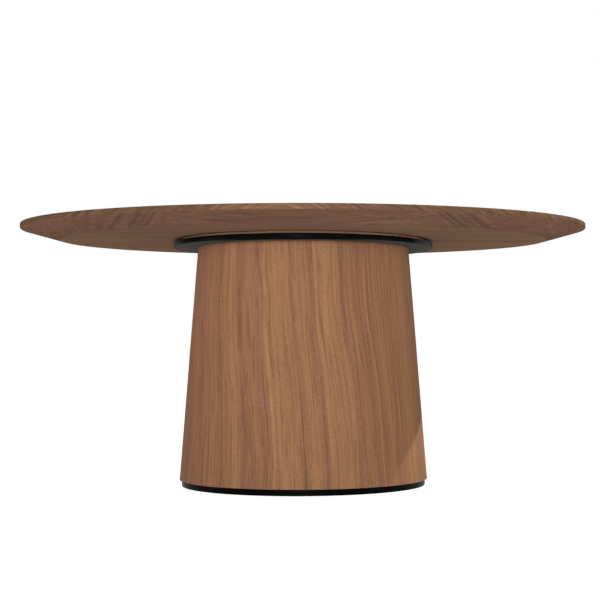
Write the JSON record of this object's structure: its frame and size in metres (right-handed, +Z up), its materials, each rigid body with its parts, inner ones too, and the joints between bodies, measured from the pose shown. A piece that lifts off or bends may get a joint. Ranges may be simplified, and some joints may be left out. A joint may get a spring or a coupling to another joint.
{
  "type": "pedestal coffee table",
  "caption": "Oval coffee table: underbevelled walnut top on a black steel plate, over a conical walnut pedestal on a black steel foot plate.",
  "frame": {"origin": "on the floor, under the middle of the top and of the pedestal", "axes": "+X along the length of the oval top, +Y from the front to the back, +Z up"},
  "size_m": [0.9, 0.68, 0.416],
  "materials": {
    "walnut_lipping": "oiled solid walnut, sanded",
    "walnut_top": "matt lacquered walnut veneer",
    "walnut_underside": "matt lacquered walnut veneer",
    "walnut_pedestal": "matt lacquered walnut veneer, grain upright",
    "fibreboard": "raw fibreboard",
    "plywood": "raw birch plywood",
    "brass": "turned brass",
    "cork_pad": "rubber-bound natural cork sheet",
    "black_steel": "fine textured black powder coat",
    "black_screw": "blackened steel",
    "bright_steel": "zinc plated steel",
    "black_plastic": "moulded black nylon"
  },
  "bodies": {
    "root": {"edge_lipping": "walnut_lipping", "top_veneer": "walnut_top", "tabletop_core": "fibreboard", "bevel_veneer": "walnut_underside", "underside_veneer": "walnut_underside", "threaded_inserts": "brass", "isolating_pad": "cork_pad", "mounting_plate": "black_steel", "plate_screws": "black_screw", "plate_boss": "black_steel", "locating_pins": "bright_steel", "top_former": "plywood", "pedestal_core": "plywood", "pedestal_veneer": "walnut_pedestal", "seam_batten": "plywood", "rib_battens": "plywood", "bottom_former": "plywood", "tie_rod": "bright_steel", "tie_washer": "bright_steel", "tie_nut": "bright_steel", "foot_plate": "black_steel", "foot_screws": "bright_steel", "access_cap": "black_plastic", "glides": "black_plastic"}
  },
  "joints": []
}
